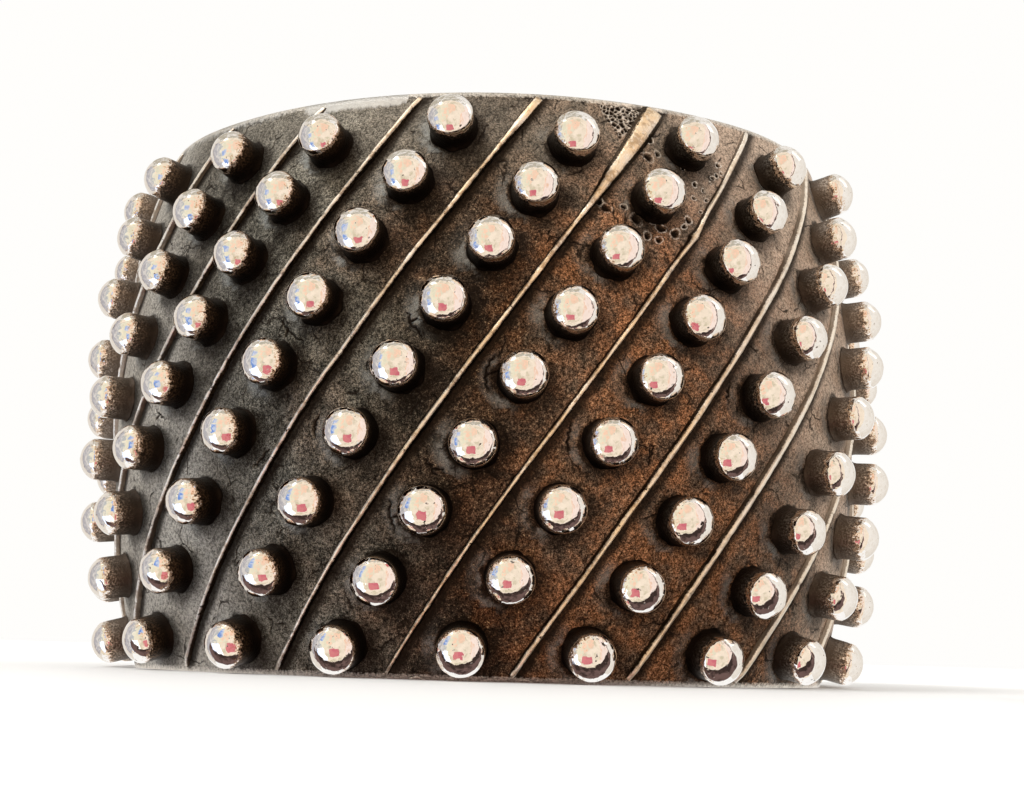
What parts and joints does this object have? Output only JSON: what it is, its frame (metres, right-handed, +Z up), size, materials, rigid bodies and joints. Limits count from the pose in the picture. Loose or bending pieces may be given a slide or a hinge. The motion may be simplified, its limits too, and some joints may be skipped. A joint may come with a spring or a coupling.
{
  "type": "silver cuff bracelet",
  "caption": "Open oval silver cuff bracelet, domed, with slanting wires and rows of half-ball studs between them, rounded ends and a gap at the back.",
  "frame": {"origin": "under the middle of the cuff's box, on the plane of its lower edge", "axes": "+Z up along the axis the wrist goes through, -Y towards the middle of the front, +Y towards the opening, +X along the long way of the oval, to the right seen from the front"},
  "size_m": [0.0724, 0.0528, 0.045],
  "materials": {
    "silver_oxidised": "blackened and rubbed back, fine brushed grain",
    "silver_polished": "polished by hand, warm white",
    "silver_worn": "worn bright on top, dark in the hollows"
  },
  "bodies": {
    "root": {"cuff": "silver_oxidised"}
  },
  "joints": []
}
